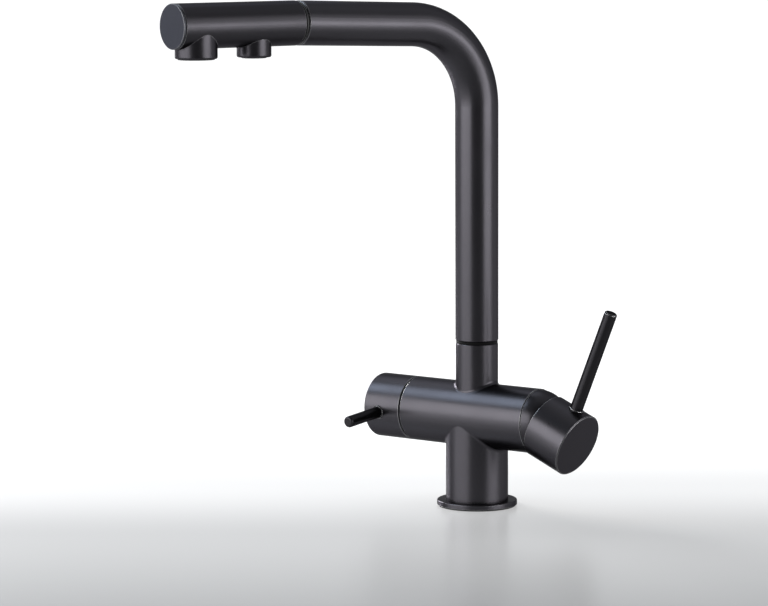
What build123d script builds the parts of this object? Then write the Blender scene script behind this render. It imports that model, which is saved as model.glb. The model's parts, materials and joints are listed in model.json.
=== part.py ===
from build123d import *
import os
from math import asin, cos, degrees, radians, sin, sqrt

os.makedirs("parts", exist_ok=True)

# Sizes in millimetres and degrees. The origin is on the deck, on the column's axis.
# +Z is up, -Y is the user's side and +X is the mixer lever's side.

# Body casting
BARREL_R = 22.5
BARREL_Z = 64.0
RIGHT_END = 53.0
LEFT_END = 51.5
COLUMN_R = BARREL_R - 0.75
TUBE_R = 15.0
NECK_R = TUBE_R - 0.2
NECK_BORE_R = NECK_R - 2.3
NECK_FLOOR = BARREL_Z + BARREL_R - 0.5
NECK_DEPTH = 28.6
NECK_TOP = NECK_FLOOR + NECK_DEPTH
ROOT_FILLET = 2.5
FLANGE_R = COLUMN_R + 6.25
FLANGE_TOP = 4.4
GASKET_T = 1.0
COLUMN_BASE = 2.2
EDGE = 0.6

# Fixing to the deck
DECK_HOLE_R = 18.5
INSERT_R = DECK_HOLE_R - 1.0
INSERT_TOP = 16.0
INSERT_FOOT = -13.0
HOSE_HOLE_R = 7.0
PORT_R = 4.45
PORT_DEPTH = 12.0
PORT_END = INSERT_FOOT + PORT_DEPTH
PORT_PCD_R = 12.0
DUCT_R = 3.0
STUD_R = 3.0
STUD_PCD_R = 12.5
STUD_ANGLE = 120.0
STUD_FOOT = -60.0
DECK_T = 20.0
PAD_T = 3.0
CLAMP_R = 26.0
CLAMP_NUT_L = 18.0

# Spout
TUBE_WALL = 1.5
SEAM = 1.8
BEND_R = 57.5
CORNER_Z = 335.0
ARM_RISE = 2.0
ARM_LENGTH = 152.0
SWING = 15.5
SWING_LEFT = 104.5
SWING_RIGHT = 135.5
SPIGOT_R = NECK_BORE_R - 1.0
SPIGOT_BORE_R = 8.0
SPIGOT_TOP = NECK_TOP + 19.4
LOCK_Z = NECK_TOP - 10.6
LOCK_TIP_R = 1.4

# Pull-out head
HEAD_R = TUBE_R
HEAD_BORE_R = HEAD_R - 2.0
HEAD_LENGTH = 97.6
HEAD_SEAM = 2.6
CAP_T = 1.5
CAP_PLUG = 3.5
MAIN_AT = HEAD_LENGTH - 18.5
MAIN_R = HEAD_R - 1.0
MAIN_DROP = HEAD_R + 6.4
MAIN_BORE_R = MAIN_R - 1.8
PURE_AT = MAIN_AT - 45.4
PURE_R = HEAD_R - 3.5
PURE_DROP = HEAD_R + 6.6
PURE_BORE_R = PURE_R - 3.1
AERATOR_SEAT = HEAD_BORE_R - 4.0
AERATOR_SHOWS = 0.6
COLLAR_R = HEAD_R - 3.8
COLLAR_TAIL = 22.0
COLLAR_RIM_R = HEAD_R - 0.2
COLLAR_RIM_FROM = -0.4
COLLAR_RIM_TO = HEAD_SEAM / 2 - 0.5
COLLAR_GROOVE_R = COLLAR_RIM_R - 0.9
DOCK_LENGTH = COLLAR_TAIL + 4.0

# Pull-out hose with the filtered-water tube inside it
HOSE_R = 6.0
HOSE_BORE_R = 4.4
PURE_TUBE_R = 2.6
PURE_TUBE_BORE_R = 1.8
HOSE_BEND_R = BEND_R + 2.5
HOSE_START = -COLLAR_TAIL - 1.2
HOSE_FOOT = -58.0
COUPLING_FOOT = -84.0

# Mixer
PIVOT_X = RIGHT_END - 0.9
OPEN_TILT = 22.6
CHAMBER_FLOOR = RIGHT_END - 27.0
CHAMBER_R = BARREL_R - 4.5
MOUTH_R = CHAMBER_R + 1.0
MOUTH_FLOOR = RIGHT_END - 7.5
DOME_R = BARREL_R - 0.5
DOME_HOLE_R = 0.68 * DOME_R
HUB_R = BARREL_R
HUB_RIM = 6.8
HUB_END = HUB_RIM + 29.5
HUB_SOCKET_R = BARREL_R + 0.4
LEVER_AT = HUB_END - 10.9
LEVER_R = 4.5
LEVER_TIP = 96.5
SHOULDER = 0.6
SHOULDER_SEAT = 0.8
STEM_ARM = 10.5
BALL_R = 2.6
STEM_HALF = 4.0
STEM_END = HUB_END - 5.3

# Filtered-water valve
CAP_END = LEFT_END + 31.5
CAP_GAP = 0.7
CAP_WALL = 2.5
PIN_AT = CAP_END - 12.5
PIN_R = 4.0
PIN_TIP = 56.6
PIN_DROP = 5.2
VALVE_BORE_R = 13.0
VALVE_FLOOR = LEFT_END - 27.5

# Clearances
FIT = 0.05
RUN = 0.1
GAP = 0.35

# Places that follow from the sizes
swing_s = sin(radians(SWING))
swing_c = cos(radians(SWING))
rise_s = sin(radians(ARM_RISE))
rise_c = cos(radians(ARM_RISE))
tilt_s = sin(radians(OPEN_TILT))
tilt_c = cos(radians(OPEN_TILT))
seam_out = ARM_LENGTH * rise_c
head_z = CORNER_Z + ARM_LENGTH * rise_s
tube_foot = NECK_TOP + SEAM
out_dir = (-swing_s, -swing_c, 0)
side_dir = (swing_c, -swing_s, 0)
arm_dir = (-swing_s * rise_c, -swing_c * rise_c, rise_s)
seam_point = (-swing_s * seam_out, -swing_c * seam_out, head_z)
pivot = (PIVOT_X, 0, BARREL_Z)
disc_shift = STEM_ARM * tilt_s

barrel = Plane(origin=(0, 0, BARREL_Z), x_dir=(0, 1, 0), z_dir=(1, 0, 0))
barrel_side = Plane(origin=(0, 0, BARREL_Z), x_dir=(1, 0, 0), z_dir=(0, -1, 0))
barrel_axis = Axis((0, 0, BARREL_Z), (1, 0, 0))
hub = Plane(origin=pivot, x_dir=(0, 1, 0), z_dir=(tilt_c, 0, -tilt_s))
hub_side = Plane(origin=pivot, x_dir=(tilt_c, 0, -tilt_s), z_dir=(0, -1, 0))
hub_axis = Axis(pivot, (tilt_c, 0, -tilt_s))
spout = Plane(origin=(0, 0, 0), x_dir=out_dir, z_dir=(-swing_c, swing_s, 0))
head = Plane(origin=seam_point, x_dir=side_dir, z_dir=out_dir)
head_side = Plane(origin=seam_point, x_dir=out_dir, z_dir=(-swing_c, swing_s, 0))
head_axis = Axis(seam_point, out_dir)
arm = Plane(origin=seam_point, x_dir=side_dir, z_dir=arm_dir)


def under_head(along, drop):
    """A plane that faces down, under the head's axis."""
    return Plane(
        origin=(
            -swing_s * (seam_out + along),
            -swing_c * (seam_out + along),
            head_z - drop,
        ),
        x_dir=side_dir,
        z_dir=(0, 0, -1),
    )


def on_pcd(angle, radius=PORT_PCD_R):
    """A point of the port circle in the base."""
    return (radius * cos(radians(angle)), radius * sin(radians(angle)))


MIXED_PORT = on_pcd(0)
HOT_PORT = on_pcd(60)
FILTER_IN_PORT = on_pcd(180)
FILTER_OUT_PORT = on_pcd(240)
COLD_PORT = on_pcd(300)
STUD_POINT = on_pcd(STUD_ANGLE, STUD_PCD_R)
PORTS = [MIXED_PORT, HOT_PORT, FILTER_IN_PORT, FILTER_OUT_PORT, COLD_PORT]

# Where the cartridge's ports lie on its floor, in the barrel plane
INLET_Y = 8.0
INLET_Z = 6.0
OUTLET_Z = -5.0
CARTRIDGE_PORTS = [(INLET_Y, INLET_Z), (-INLET_Y, INLET_Z), (0, OUTLET_Z)]

# Body casting: column, barrel and neck in one, with the two valve chambers,
# the hose bore and the drilled water ducts
with BuildPart() as main_body:
    with BuildSketch(barrel.offset(-LEFT_END)):
        Circle(BARREL_R)
    extrude(amount=LEFT_END + RIGHT_END)
    chamfer(main_body.edges().filter_by(GeomType.CIRCLE), EDGE)
    with BuildSketch(Plane.XY.offset(COLUMN_BASE)):
        Circle(COLUMN_R)
    extrude(amount=BARREL_Z - COLUMN_BASE)
    with BuildSketch(Plane.XY.offset(BARREL_Z)):
        Circle(NECK_R)
    extrude(amount=NECK_TOP - BARREL_Z)
    chamfer(main_body.edges().group_by(Axis.Z)[-1], EDGE)
    neck_root = main_body.edges().filter_by_position(
        Axis.Z, BARREL_Z + 0.6 * BARREL_R, BARREL_Z + BARREL_R + GAP
    )
    fillet(neck_root, ROOT_FILLET)
    column_root = main_body.edges().filter_by_position(
        Axis.Z, BARREL_Z - BARREL_R - GAP, BARREL_Z - 0.3 * BARREL_R
    )
    fillet(column_root, ROOT_FILLET)
    # neck bore and hose bore
    with BuildSketch(Plane.XY.offset(NECK_FLOOR)):
        Circle(NECK_BORE_R)
    extrude(amount=NECK_TOP - NECK_FLOOR, mode=Mode.SUBTRACT)
    with BuildSketch(Plane.XY.offset(INSERT_TOP)):
        Circle(HOSE_HOLE_R)
    extrude(amount=NECK_FLOOR - INSERT_TOP, mode=Mode.SUBTRACT)
    # seat of the base insert
    with BuildSketch(Plane.XY.offset(COLUMN_BASE)):
        Circle(INSERT_R + FIT)
    extrude(amount=INSERT_TOP - COLUMN_BASE, mode=Mode.SUBTRACT)
    # cartridge chamber and its threaded mouth
    with BuildSketch(barrel.offset(CHAMBER_FLOOR)):
        Circle(CHAMBER_R)
    extrude(amount=RIGHT_END - CHAMBER_FLOOR, mode=Mode.SUBTRACT)
    with BuildSketch(barrel.offset(MOUTH_FLOOR)):
        Circle(MOUTH_R)
    extrude(amount=RIGHT_END - MOUTH_FLOOR, mode=Mode.SUBTRACT)
    # filter valve chamber
    with BuildSketch(barrel.offset(-LEFT_END)):
        Circle(VALVE_BORE_R)
    extrude(amount=LEFT_END - VALVE_FLOOR, mode=Mode.SUBTRACT)
    # hot and cold ducts: up the column, then across to the cartridge
    with BuildSketch(Plane.XY.offset(INSERT_TOP)):
        with Locations(HOT_PORT, COLD_PORT):
            Circle(DUCT_R)
    extrude(amount=BARREL_Z + INLET_Z - INSERT_TOP, mode=Mode.SUBTRACT)
    with BuildSketch(barrel.offset(HOT_PORT[0])):
        with Locations((INLET_Y, INLET_Z), (-INLET_Y, INLET_Z)):
            Circle(DUCT_R - 0.5)
    extrude(amount=CHAMBER_FLOOR - HOT_PORT[0], mode=Mode.SUBTRACT)
    # mixed water duct, back down to the base
    with BuildSketch(Plane.XY.offset(INSERT_TOP)):
        with Locations(MIXED_PORT):
            Circle(DUCT_R)
    extrude(amount=BARREL_Z + OUTLET_Z - INSERT_TOP, mode=Mode.SUBTRACT)
    with BuildSketch(barrel.offset(MIXED_PORT[0])):
        with Locations((0, OUTLET_Z)):
            Circle(DUCT_R - 0.5)
    extrude(amount=CHAMBER_FLOOR - MIXED_PORT[0], mode=Mode.SUBTRACT)
    # filtered water in, at the valve's middle, and out beside it
    with BuildSketch(Plane.XY.offset(INSERT_TOP)):
        with Locations(FILTER_IN_PORT):
            Circle(DUCT_R)
    extrude(amount=BARREL_Z - INSERT_TOP, mode=Mode.SUBTRACT)
    with BuildSketch(barrel.offset(-VALVE_FLOOR)):
        Circle(DUCT_R - 0.5)
    extrude(amount=VALVE_FLOOR + FILTER_IN_PORT[0], mode=Mode.SUBTRACT)
    with BuildSketch(Plane.XY.offset(INSERT_TOP)):
        with Locations(FILTER_OUT_PORT):
            Circle(DUCT_R)
    extrude(amount=BARREL_Z + OUTLET_Z - INSERT_TOP, mode=Mode.SUBTRACT)
    with BuildSketch(barrel.offset(-VALVE_FLOOR)):
        with Locations((FILTER_OUT_PORT[1] + 0.9, OUTLET_Z)):
            Circle(DUCT_R - 0.8)
    extrude(amount=VALVE_FLOOR + FILTER_OUT_PORT[0], mode=Mode.SUBTRACT)
    # hole of the spout's lock screw, at the back of the neck
    with BuildSketch(Plane.XZ.offset(-NECK_R)):
        with Locations((0, LOCK_Z)):
            Circle(2.0 + FIT)
    extrude(amount=NECK_R - NECK_BORE_R + 1, mode=Mode.SUBTRACT)

# Base: flange, gasket, insert with the ports, and the clamp under the deck
with BuildPart() as base_flange:
    with BuildSketch(Plane.XY.offset(GASKET_T)):
        Circle(FLANGE_R)
        Circle(DECK_HOLE_R + 0.5, mode=Mode.SUBTRACT)
    extrude(amount=FLANGE_TOP - GASKET_T)
    with BuildSketch(Plane.XY.offset(COLUMN_BASE)):
        Circle(COLUMN_R + FIT)
    extrude(amount=FLANGE_TOP - COLUMN_BASE, mode=Mode.SUBTRACT)
    flange_rim = base_flange.edges().group_by(Axis.Z)[-1].sort_by(SortBy.RADIUS)[-1]
    fillet(flange_rim, 0.8)

with BuildPart() as flange_gasket:
    with BuildSketch():
        Circle(FLANGE_R - 1)
        Circle(DECK_HOLE_R + 1, mode=Mode.SUBTRACT)
    extrude(amount=GASKET_T)

with BuildPart() as base_insert:
    with BuildSketch(Plane.XY.offset(PORT_END)):
        Circle(INSERT_R)
        Circle(HOSE_HOLE_R, mode=Mode.SUBTRACT)
        with Locations(*PORTS):
            Circle(DUCT_R, mode=Mode.SUBTRACT)
    extrude(amount=INSERT_TOP - PORT_END)

with BuildPart() as port_shank:
    with BuildSketch(Plane.XY.offset(INSERT_FOOT)):
        Circle(INSERT_R)
        Circle(HOSE_HOLE_R, mode=Mode.SUBTRACT)
        with Locations(*PORTS):
            Circle(PORT_R, mode=Mode.SUBTRACT)
        with Locations(STUD_POINT):
            Circle(STUD_R + FIT, mode=Mode.SUBTRACT)
    extrude(amount=PORT_DEPTH)

with BuildPart() as fixing_stud:
    with BuildSketch(Plane.XY.offset(STUD_FOOT)):
        with Locations(STUD_POINT):
            Circle(STUD_R)
    extrude(amount=PORT_END - RUN - STUD_FOOT)
    chamfer(fixing_stud.edges().group_by(Axis.Z)[0], 0.6)

with BuildSketch() as horseshoe:
    Circle(CLAMP_R)
    Circle(DECK_HOLE_R, mode=Mode.SUBTRACT)
    with PolarLocations(CLAMP_R, 1, start_angle=STUD_ANGLE + 180):
        Rectangle(CLAMP_R, 1.4 * DECK_HOLE_R, mode=Mode.SUBTRACT)
    with PolarLocations(STUD_PCD_R, 1, start_angle=STUD_ANGLE):
        Circle(STUD_R + 2)
    with PolarLocations(STUD_PCD_R + STUD_R, 1, start_angle=STUD_ANGLE):
        Rectangle(2 * STUD_R + 1, 2 * STUD_R + 4)
    with Locations(STUD_POINT):
        Circle(STUD_R + 0.3, mode=Mode.SUBTRACT)

with BuildPart() as clamp_pad:
    add(horseshoe.sketch.moved(Location((0, 0, -DECK_T - PAD_T))))
    extrude(amount=PAD_T)

with BuildPart() as clamp_plate:
    add(horseshoe.sketch.moved(Location((0, 0, -DECK_T - 2 * PAD_T))))
    extrude(amount=PAD_T)

with BuildPart() as clamp_nut:
    with BuildSketch(Plane.XY.offset(-DECK_T - 2 * PAD_T - CLAMP_NUT_L)):
        with Locations(STUD_POINT):
            RegularPolygon(radius=2 * STUD_R - 0.2, side_count=6)
            Circle(STUD_R + FIT, mode=Mode.SUBTRACT)
    extrude(amount=CLAMP_NUT_L)

# Swivel bearing in the neck
with BuildPart() as lower_bush:
    with BuildSketch(Plane.XY.offset(NECK_FLOOR + 1.5)):
        Circle(NECK_BORE_R - FIT)
        Circle(SPIGOT_R + RUN, mode=Mode.SUBTRACT)
    extrude(amount=5)

with BuildPart() as upper_bush:
    with BuildSketch(Plane.XY.offset(NECK_TOP - 6.5)):
        Circle(NECK_BORE_R - FIT)
        Circle(SPIGOT_R + RUN, mode=Mode.SUBTRACT)
    extrude(amount=6)

with BuildPart() as swivel_washer:
    with BuildSketch(Plane.XY.offset(NECK_TOP)):
        Circle(NECK_R - 0.3)
        Circle(SPIGOT_R + GAP, mode=Mode.SUBTRACT)
    extrude(amount=SEAM - RUN)

with BuildPart() as spout_lock_screw:
    with BuildSketch(Plane.XZ.offset(-NECK_R + 0.3)):
        with Locations((0, LOCK_Z)):
            Circle(2.0)
    extrude(amount=NECK_R - NECK_BORE_R + 0.3)
    with BuildSketch(Plane.XZ.offset(-NECK_BORE_R)):
        with Locations((0, LOCK_Z)):
            Circle(LOCK_TIP_R)
    extrude(amount=2.0)
    with BuildSketch(Plane.XZ.offset(-NECK_R + 0.3)):
        with Locations((0, LOCK_Z)):
            RegularPolygon(radius=1.15, side_count=6)
    extrude(amount=1.4, mode=Mode.SUBTRACT)

with BuildPart() as spigot:
    with BuildSketch(Plane.XZ):
        with BuildLine():
            Polyline(
                (SPIGOT_BORE_R, NECK_FLOOR + 0.6),
                (SPIGOT_R, NECK_FLOOR + 0.6),
                (SPIGOT_R, tube_foot),
                (TUBE_R - TUBE_WALL - FIT, tube_foot),
                (TUBE_R - TUBE_WALL - FIT, SPIGOT_TOP),
                (SPIGOT_BORE_R + 1.5, SPIGOT_TOP),
                (SPIGOT_BORE_R, SPIGOT_TOP - 1.5),
                close=True,
            )
        make_face()
    revolve(axis=Axis.Z)
    # grooves of the two seals
    for seal_z in (LOCK_Z - 10, LOCK_Z - 6):
        with BuildSketch(Plane.XY.offset(seal_z - 1)):
            Circle(SPIGOT_R + 1)
            Circle(SPIGOT_R - 1, mode=Mode.SUBTRACT)
        extrude(amount=2, mode=Mode.SUBTRACT)
    # arc groove where the lock screw's tip stops the swing at both ends
    tip_angle = degrees(asin((LOCK_TIP_R + 0.2) / (SPIGOT_R - 1.5)))
    groove_from = radians(90 - SWING_RIGHT - tip_angle)
    with BuildSketch(
        Plane(
            origin=(0, 0, 0),
            x_dir=(cos(groove_from), sin(groove_from), 0),
            z_dir=(sin(groove_from), -cos(groove_from), 0),
        )
    ):
        with Locations((SPIGOT_R, LOCK_Z)):
            Rectangle(3, 2 * LOCK_TIP_R + 2 * GAP)
    revolve(
        axis=Axis.Z,
        revolution_arc=SWING_LEFT + SWING_RIGHT + 2 * tip_angle,
        mode=Mode.SUBTRACT,
    )

with BuildPart() as spigot_seals:
    for seal_z in (LOCK_Z - 10, LOCK_Z - 6):
        with BuildSketch(Plane.XY.offset(seal_z - 0.9)):
            Circle(NECK_BORE_R - RUN)
            Circle(SPIGOT_R - 1 + FIT, mode=Mode.SUBTRACT)
        extrude(amount=1.8)

# Spout: riser, bend and arm in one tube
with BuildPart() as spout_tube:
    with BuildLine(spout):
        FilletPolyline(
            (0, tube_foot),
            (0, CORNER_Z),
            (seam_out - HEAD_SEAM / 2, head_z - HEAD_SEAM / 2 * rise_s),
            radius=BEND_R,
        )
    with BuildSketch(Plane.XY.offset(tube_foot)):
        Circle(TUBE_R)
        Circle(TUBE_R - TUBE_WALL, mode=Mode.SUBTRACT)
    sweep()
    tube_rims = spout_tube.edges().filter_by(
        lambda e: e.geom_type == GeomType.CIRCLE
        and abs(e.radius - TUBE_R) < 0.01
        and e.length > 6 * TUBE_R
    )
    chamfer(tube_rims, EDGE)

with BuildPart() as dock_bush:
    with BuildSketch(arm.offset(-DOCK_LENGTH)):
        Circle(TUBE_R - TUBE_WALL - FIT)
    extrude(amount=DOCK_LENGTH - HEAD_SEAM / 2 - EDGE)
    with BuildSketch(head.offset(-DOCK_LENGTH - TUBE_R)):
        Circle(COLLAR_R + GAP)
    extrude(amount=DOCK_LENGTH + 2 * TUBE_R, mode=Mode.SUBTRACT)

# Hose and filtered-water tube, along the riser, the bend and the arm
with BuildPart() as spray_hose:
    with BuildLine(spout):
        FilletPolyline(
            (0, HOSE_FOOT),
            (0, head_z),
            (seam_out + HOSE_START, head_z),
            radius=HOSE_BEND_R,
        )
    with BuildSketch(Plane.XY.offset(HOSE_FOOT)):
        Circle(HOSE_R)
        Circle(HOSE_BORE_R, mode=Mode.SUBTRACT)
    sweep()

with BuildPart() as pure_tube:
    with BuildLine(spout):
        FilletPolyline(
            (0, COUPLING_FOOT + 4),
            (0, head_z),
            (seam_out + PURE_AT - 5, head_z),
            radius=HOSE_BEND_R,
        )
    with BuildSketch(Plane.XY.offset(COUPLING_FOOT + 4)):
        Circle(PURE_TUBE_R)
        Circle(PURE_TUBE_BORE_R, mode=Mode.SUBTRACT)
    sweep()

with BuildPart() as hose_coupling:
    with BuildSketch(Plane.XZ):
        with BuildLine():
            Polyline(
                (PURE_TUBE_R + 0.6, COUPLING_FOOT),
                (5.0, COUPLING_FOOT),
                (5.0, HOSE_FOOT - 12),
                (HOSE_R + 1, HOSE_FOOT - 12),
                (HOSE_R + 1, HOSE_FOOT + 12),
                (HOSE_R + FIT, HOSE_FOOT + 12),
                (HOSE_R + FIT, HOSE_FOOT),
                (HOSE_BORE_R - FIT, HOSE_FOOT),
                (HOSE_BORE_R - FIT, HOSE_FOOT + 14),
                (PURE_TUBE_R + 0.6, HOSE_FOOT + 14),
                close=True,
            )
        make_face()
    revolve(axis=Axis.Z)

# Hose end: the nipple that the head turns on
with BuildPart() as swivel_nipple:
    with BuildSketch(head_side):
        with BuildLine():
            Polyline(
                (HOSE_START - 19, PURE_TUBE_R + 0.6),
                (HOSE_START - 19, HOSE_BORE_R - FIT),
                (HOSE_START + 0.1, HOSE_BORE_R - FIT),
                (HOSE_START + 0.1, HOSE_R + 0.6),
                (-COLLAR_TAIL + 3.4, HOSE_R + 0.6),
                (-COLLAR_TAIL + 3.4, COLLAR_R - 2.4),
                (-COLLAR_TAIL + 7, COLLAR_R - 2.4),
                (-COLLAR_TAIL + 7, 5.6),
                (13, 5.6),
                (13, 4.8),
                (15, 4.8),
                (15, 5.6),
                (18, 5.6),
                (18, PURE_TUBE_R + 0.6),
                close=True,
            )
        make_face()
    revolve(axis=head_axis)

with BuildPart() as nipple_seal:
    with BuildSketch(head.offset(13.1)):
        Circle(5.6)
        Circle(4.85, mode=Mode.SUBTRACT)
    extrude(amount=1.8)

with BuildPart() as hose_ferrule:
    with BuildSketch(head.offset(HOSE_START - 20)):
        Circle(HOSE_R + 1.2)
        Circle(HOSE_R + FIT, mode=Mode.SUBTRACT)
    extrude(amount=19.8)

# Pull-out head
with BuildPart() as head_shell:
    with BuildSketch(head.offset(HEAD_SEAM / 2)):
        Circle(HEAD_R)
    extrude(amount=HEAD_LENGTH - CAP_T - 0.2 - HEAD_SEAM / 2)
    chamfer(head_shell.edges().filter_by(GeomType.CIRCLE), 0.4)
    with BuildSketch(under_head(MAIN_AT, 0)):
        Circle(MAIN_R)
    extrude(amount=MAIN_DROP)
    with BuildSketch(under_head(PURE_AT, 0)):
        Circle(PURE_R)
    extrude(amount=PURE_DROP)
    boss_rims = head_shell.edges().filter_by(GeomType.CIRCLE).filter_by_position(
        Axis.Z, head_z - PURE_DROP - 0.1, head_z - MAIN_DROP + 0.1
    )
    fillet(boss_rims, 1.3)
    with BuildSketch(head.offset(0)):
        Circle(HEAD_BORE_R)
    extrude(amount=HEAD_LENGTH, mode=Mode.SUBTRACT)
    with BuildSketch(under_head(MAIN_AT, AERATOR_SEAT)):
        Circle(MAIN_BORE_R)
    extrude(amount=MAIN_DROP, mode=Mode.SUBTRACT)
    with BuildSketch(under_head(PURE_AT, AERATOR_SEAT)):
        Circle(PURE_BORE_R)
    extrude(amount=PURE_DROP, mode=Mode.SUBTRACT)

with BuildPart() as head_end_cap:
    with BuildSketch(head.offset(HEAD_LENGTH - CAP_T)):
        Circle(HEAD_R)
    extrude(amount=CAP_T)
    chamfer(head_end_cap.edges().filter_by(GeomType.CIRCLE), 0.4)
    with BuildSketch(head.offset(HEAD_LENGTH - CAP_T)):
        Circle(HEAD_BORE_R - FIT)
    extrude(amount=-CAP_PLUG)
    with BuildSketch(head.offset(HEAD_LENGTH - CAP_T - CAP_PLUG)):
        Circle(HEAD_BORE_R - 2)
    extrude(amount=CAP_PLUG - 1, mode=Mode.SUBTRACT)

with BuildPart() as head_core:
    with BuildSketch(head.offset(10)):
        Circle(HEAD_BORE_R - 0.2)
    extrude(amount=HEAD_LENGTH - CAP_T - CAP_PLUG - 10)
    # flat seats of the two aerators
    with BuildSketch(under_head(MAIN_AT, AERATOR_SEAT)):
        Circle(MAIN_BORE_R + 0.1)
    extrude(amount=MAIN_DROP, mode=Mode.SUBTRACT)
    with BuildSketch(under_head(PURE_AT, AERATOR_SEAT)):
        Circle(PURE_BORE_R + 0.1)
    extrude(amount=PURE_DROP, mode=Mode.SUBTRACT)
    # socket of the nipple and the chamber before it
    with BuildSketch(head.offset(10)):
        Circle(5.6 + RUN)
    extrude(amount=14, mode=Mode.SUBTRACT)
    # mixed water: up, along the top, and down to the main outlet
    with BuildSketch(under_head(21.5, -6)):
        Circle(2.2)
    extrude(amount=6, mode=Mode.SUBTRACT)
    with BuildSketch(head.offset(21.5)):
        with Locations((0, 6)):
            Circle(2.2)
    extrude(amount=MAIN_AT - 21.5, mode=Mode.SUBTRACT)
    with BuildSketch(under_head(MAIN_AT, -6)):
        Circle(4)
    extrude(amount=6 + AERATOR_SEAT, mode=Mode.SUBTRACT)
    # filtered water: from the inner tube's end down to its own outlet
    with BuildSketch(head.offset(24)):
        Circle(PURE_TUBE_R + FIT)
    extrude(amount=PURE_AT - 5 - 24 + 0.2, mode=Mode.SUBTRACT)
    with BuildSketch(head.offset(PURE_AT - 5)):
        Circle(PURE_TUBE_BORE_R)
    extrude(amount=5, mode=Mode.SUBTRACT)
    with BuildSketch(under_head(PURE_AT, 0)):
        Circle(3)
    extrude(amount=AERATOR_SEAT, mode=Mode.SUBTRACT)

with BuildPart() as dock_collar:
    with BuildSketch(head_side):
        with BuildLine():
            Polyline(
                (-COLLAR_TAIL, HOSE_R + 1.4),
                (-COLLAR_TAIL, COLLAR_R - 1.2),
                (-COLLAR_TAIL + 1.2, COLLAR_R),
                (COLLAR_RIM_FROM, COLLAR_R),
                (COLLAR_RIM_FROM, COLLAR_RIM_R),
                (COLLAR_RIM_TO, COLLAR_RIM_R),
                (COLLAR_RIM_TO, COLLAR_GROOVE_R),
                (HEAD_SEAM / 2, COLLAR_GROOVE_R),
                (HEAD_SEAM / 2, HEAD_BORE_R - FIT),
                (9.5, HEAD_BORE_R - FIT),
                (9.5, COLLAR_R - 1.8),
                (-COLLAR_TAIL + 3, COLLAR_R - 1.8),
                (-COLLAR_TAIL + 3, HOSE_R + 1.4),
                close=True,
            )
        make_face()
    revolve(axis=head_axis)

with BuildPart() as main_aerator_washer:
    with BuildSketch(under_head(MAIN_AT, AERATOR_SEAT)):
        Circle(MAIN_BORE_R - 0.2)
        Circle(MAIN_BORE_R - 3, mode=Mode.SUBTRACT)
    extrude(amount=1.2)

with BuildPart() as main_aerator_ring:
    with BuildSketch(under_head(MAIN_AT, AERATOR_SEAT + 1.2)):
        Circle(MAIN_BORE_R - FIT)
        Circle(MAIN_BORE_R - 1.4, mode=Mode.SUBTRACT)
    extrude(amount=MAIN_DROP + AERATOR_SHOWS - AERATOR_SEAT - 1.2)
    with BuildSketch(under_head(MAIN_AT, MAIN_DROP + AERATOR_SHOWS - 1)):
        Circle(MAIN_BORE_R - 1)
        Circle(MAIN_BORE_R - 2.2, mode=Mode.SUBTRACT)
    extrude(amount=1)
    chamfer(main_aerator_ring.edges().group_by(Axis.Z)[0], 0.3)

with BuildPart() as main_aerator_core:
    with BuildSketch(under_head(MAIN_AT, AERATOR_SEAT + 1.2)):
        Circle(MAIN_BORE_R - 1.4 - FIT)
    extrude(amount=MAIN_DROP + AERATOR_SHOWS - AERATOR_SEAT - 2.2)
    with BuildSketch(under_head(MAIN_AT, AERATOR_SEAT + 1.2)):
        Circle(MAIN_BORE_R - 3)
    extrude(amount=MAIN_DROP - AERATOR_SEAT - 4, mode=Mode.SUBTRACT)
    with BuildSketch(under_head(MAIN_AT, AERATOR_SEAT)):
        Circle(0.9)
        with PolarLocations(3.2, 6):
            Circle(0.9)
        with PolarLocations(6.4, 12):
            Circle(0.9)
    extrude(amount=MAIN_DROP, mode=Mode.SUBTRACT)

with BuildPart() as pure_aerator_washer:
    with BuildSketch(under_head(PURE_AT, AERATOR_SEAT)):
        Circle(PURE_BORE_R - 0.2)
        Circle(PURE_BORE_R - 2.4, mode=Mode.SUBTRACT)
    extrude(amount=1.2)

with BuildPart() as pure_aerator_ring:
    with BuildSketch(under_head(PURE_AT, AERATOR_SEAT + 1.2)):
        Circle(PURE_BORE_R - FIT)
        Circle(PURE_BORE_R - 1.2, mode=Mode.SUBTRACT)
    extrude(amount=PURE_DROP + AERATOR_SHOWS - AERATOR_SEAT - 1.2)
    with BuildSketch(under_head(PURE_AT, PURE_DROP + AERATOR_SHOWS - 1)):
        Circle(PURE_BORE_R - 1)
        Circle(PURE_BORE_R - 2, mode=Mode.SUBTRACT)
    extrude(amount=1)
    chamfer(pure_aerator_ring.edges().group_by(Axis.Z)[0], 0.3)

with BuildPart() as pure_aerator_core:
    with BuildSketch(under_head(PURE_AT, AERATOR_SEAT + 1.2)):
        Circle(PURE_BORE_R - 1.2 - FIT)
    extrude(amount=PURE_DROP + AERATOR_SHOWS - AERATOR_SEAT - 2.2)
    with BuildSketch(under_head(PURE_AT, AERATOR_SEAT + 1.2)):
        Circle(PURE_BORE_R - 2.4)
    extrude(amount=PURE_DROP - AERATOR_SEAT - 4, mode=Mode.SUBTRACT)
    with BuildSketch(under_head(PURE_AT, AERATOR_SEAT)):
        Circle(0.9)
        with PolarLocations(3.2, 6):
            Circle(0.9)
    extrude(amount=PURE_DROP, mode=Mode.SUBTRACT)

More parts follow.
